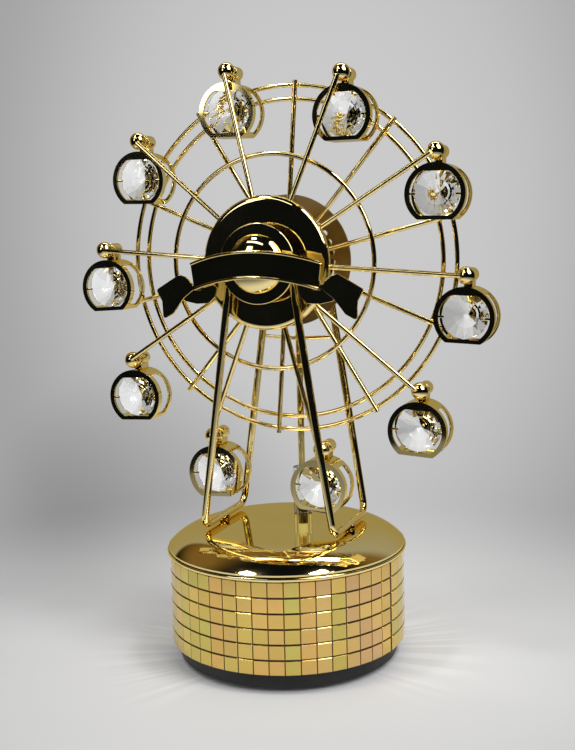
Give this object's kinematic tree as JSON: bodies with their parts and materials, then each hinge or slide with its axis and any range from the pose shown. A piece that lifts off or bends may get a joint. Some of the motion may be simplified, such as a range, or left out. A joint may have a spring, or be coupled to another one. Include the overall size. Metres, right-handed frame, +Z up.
{
  "type": "musical ferris wheel toy",
  "caption": "Wind-up musical ferris wheel: hanging crystal gondolas on a spoked wheel turned by a pin gear, on a mirror-tiled drum that holds the movement.",
  "frame": {"origin": "middle of the base on the surface that the feet stand on", "axes": "+Z up, +Y along the wheel's axle from the banner to the drive rod, +X to the right seen from the banner side"},
  "size_m": [0.1452, 0.0814, 0.1987],
  "materials": {
    "polished_gold": "mirror-bright gold plating",
    "satin_gold": "satin gold-tone sheet",
    "mirror_tile": "champagne mirror mosaic with dark joints",
    "crystal": "clear faceted crystal",
    "clear_plastic": "clear soft plastic",
    "black_plastic": "moulded satin black",
    "foot_rubber": "matt rubber pad",
    "bright_steel": "bright turned steel",
    "plain_brass": "plain machined brass"
  },
  "bodies": {
    "base": {"foot_1": "foot_rubber", "foot_2": "foot_rubber", "foot_3": "foot_rubber", "bottom_plate": "black_plastic", "base_drum": "black_plastic", "mirror_tile_band": "mirror_tile", "cover_trim_ring": "polished_gold", "top_cover": "polished_gold", "left_leg_frame": "polished_gold", "right_leg_frame": "polished_gold", "leg_nut_left": "plain_brass", "leg_nut_right": "plain_brass", "front_bearing_plate": "polished_gold", "dome_cap": "polished_gold", "rear_bearing_plate": "polished_gold", "axle": "bright_steel", "axle_spacer_front": "polished_gold", "axle_spacer_rear": "polished_gold", "banner": "polished_gold", "shaft_guide": "polished_gold", "movement_bedplate": "plain_brass", "cylinder_bracket": "plain_brass", "tone_comb": "bright_steel"},
    "wheel": {"front_disc": "polished_gold", "wheel_hub": "polished_gold", "front_spoke_frame": "polished_gold", "inner_ring": "polished_gold", "rear_spoke_frame": "polished_gold", "second_ring": "polished_gold", "outer_ring": "polished_gold", "rear_disc": "satin_gold"},
    "drive": {"drive_pinion": "plain_brass", "drive_rod": "polished_gold", "coupling_sleeve": "clear_plastic", "takeoff_arbor": "bright_steel"},
    "barrel": {"spring_barrel": "plain_brass", "mainspring": "bright_steel"},
    "key": {"winding_key": "plain_brass"},
    "cylinder": {"pinned_cylinder": "plain_brass"},
    "governor": {"governor_fan": "plain_brass"},
    "gondola_01": {"gondola_01_frame": "polished_gold", "gondola_01_crystal": "crystal"},
    "gondola_02": {"gondola_02_frame": "polished_gold", "gondola_02_crystal": "crystal"},
    "gondola_03": {"gondola_03_frame": "polished_gold", "gondola_03_crystal": "crystal"},
    "gondola_04": {"gondola_04_frame": "polished_gold", "gondola_04_crystal": "crystal"},
    "gondola_05": {"gondola_05_frame": "polished_gold", "gondola_05_crystal": "crystal"},
    "gondola_06": {"gondola_06_frame": "polished_gold", "gondola_06_crystal": "crystal"},
    "gondola_07": {"gondola_07_frame": "polished_gold", "gondola_07_crystal": "crystal"},
    "gondola_08": {"gondola_08_frame": "polished_gold", "gondola_08_crystal": "crystal"},
    "gondola_09": {"gondola_09_frame": "polished_gold", "gondola_09_crystal": "crystal"},
    "gondola_10": {"gondola_10_frame": "polished_gold", "gondola_10_crystal": "crystal"}
  },
  "joints": [
    {"name": "wheel_spin", "type": "hinge", "parent": "base", "child": "wheel", "pos_m": [0, 0, 0.13388], "axis": [0, 1, 0], "continuous": true},
    {"name": "drive_spin", "type": "hinge", "parent": "base", "child": "drive", "pos_m": [0, 0.0165, 0.06], "axis": [0, 0, 1], "continuous": true},
    {"name": "barrel_spin", "type": "hinge", "parent": "base", "child": "barrel", "pos_m": [0, 0, 0.02], "axis": [0, 0, 1], "continuous": true},
    {"name": "key_turn", "type": "hinge", "parent": "base", "child": "key", "pos_m": [0, 0, 0.01], "axis": [0, 0, 1], "continuous": true},
    {"name": "cylinder_spin", "type": "hinge", "parent": "base", "child": "cylinder", "pos_m": [0.02, 0, 0.0311], "axis": [1, 0, 0], "continuous": true},
    {"name": "governor_spin", "type": "hinge", "parent": "base", "child": "governor", "pos_m": [0.021, 0.0106, 0.02], "axis": [0, 0, 1], "continuous": true},
    {"name": "gondola_01_swing", "type": "hinge", "parent": "wheel", "child": "gondola_01", "pos_m": [-0.01504, 0, 0.19588], "axis": [0, 1, 0], "continuous": true},
    {"name": "gondola_02_swing", "type": "hinge", "parent": "wheel", "child": "gondola_02", "pos_m": [0.02427, 0, 0.19288], "axis": [0, 1, 0], "continuous": true},
    {"name": "gondola_03_swing", "type": "hinge", "parent": "wheel", "child": "gondola_03", "pos_m": [0.05432, 0, 0.16735], "axis": [0, 1, 0], "continuous": true},
    {"name": "gondola_04_swing", "type": "hinge", "parent": "wheel", "child": "gondola_04", "pos_m": [0.06362, 0, 0.12903], "axis": [0, 1, 0], "continuous": true},
    {"name": "gondola_05_swing", "type": "hinge", "parent": "wheel", "child": "gondola_05", "pos_m": [0.04861, 0, 0.09256], "axis": [0, 1, 0], "continuous": true},
    {"name": "gondola_06_swing", "type": "hinge", "parent": "wheel", "child": "gondola_06", "pos_m": [0.01504, 0, 0.07188], "axis": [0, 1, 0], "continuous": true},
    {"name": "gondola_07_swing", "type": "hinge", "parent": "wheel", "child": "gondola_07", "pos_m": [-0.02427, 0, 0.07488], "axis": [0, 1, 0], "continuous": true},
    {"name": "gondola_08_swing", "type": "hinge", "parent": "wheel", "child": "gondola_08", "pos_m": [-0.05432, 0, 0.10041], "axis": [0, 1, 0], "continuous": true},
    {"name": "gondola_09_swing", "type": "hinge", "parent": "wheel", "child": "gondola_09", "pos_m": [-0.06362, 0, 0.13873], "axis": [0, 1, 0], "continuous": true},
    {"name": "gondola_10_swing", "type": "hinge", "parent": "wheel", "child": "gondola_10", "pos_m": [-0.04861, 0, 0.1752], "axis": [0, 1, 0], "continuous": true}
  ],
  "couplings": [
    {"joint": "drive_spin", "follows": "wheel_spin", "ratio": -2},
    {"joint": "barrel_spin", "follows": "wheel_spin", "ratio": 0.66667},
    {"joint": "cylinder_spin", "follows": "wheel_spin", "ratio": 1.4545},
    {"joint": "governor_spin", "follows": "wheel_spin", "ratio": 12},
    {"joint": "gondola_01_swing", "follows": "wheel_spin", "ratio": -1},
    {"joint": "gondola_02_swing", "follows": "wheel_spin", "ratio": -1},
    {"joint": "gondola_03_swing", "follows": "wheel_spin", "ratio": -1},
    {"joint": "gondola_04_swing", "follows": "wheel_spin", "ratio": -1},
    {"joint": "gondola_05_swing", "follows": "wheel_spin", "ratio": -1},
    {"joint": "gondola_06_swing", "follows": "wheel_spin", "ratio": -1},
    {"joint": "gondola_07_swing", "follows": "wheel_spin", "ratio": -1},
    {"joint": "gondola_08_swing", "follows": "wheel_spin", "ratio": -1},
    {"joint": "gondola_09_swing", "follows": "wheel_spin", "ratio": -1},
    {"joint": "gondola_10_swing", "follows": "wheel_spin", "ratio": -1}
  ]
}
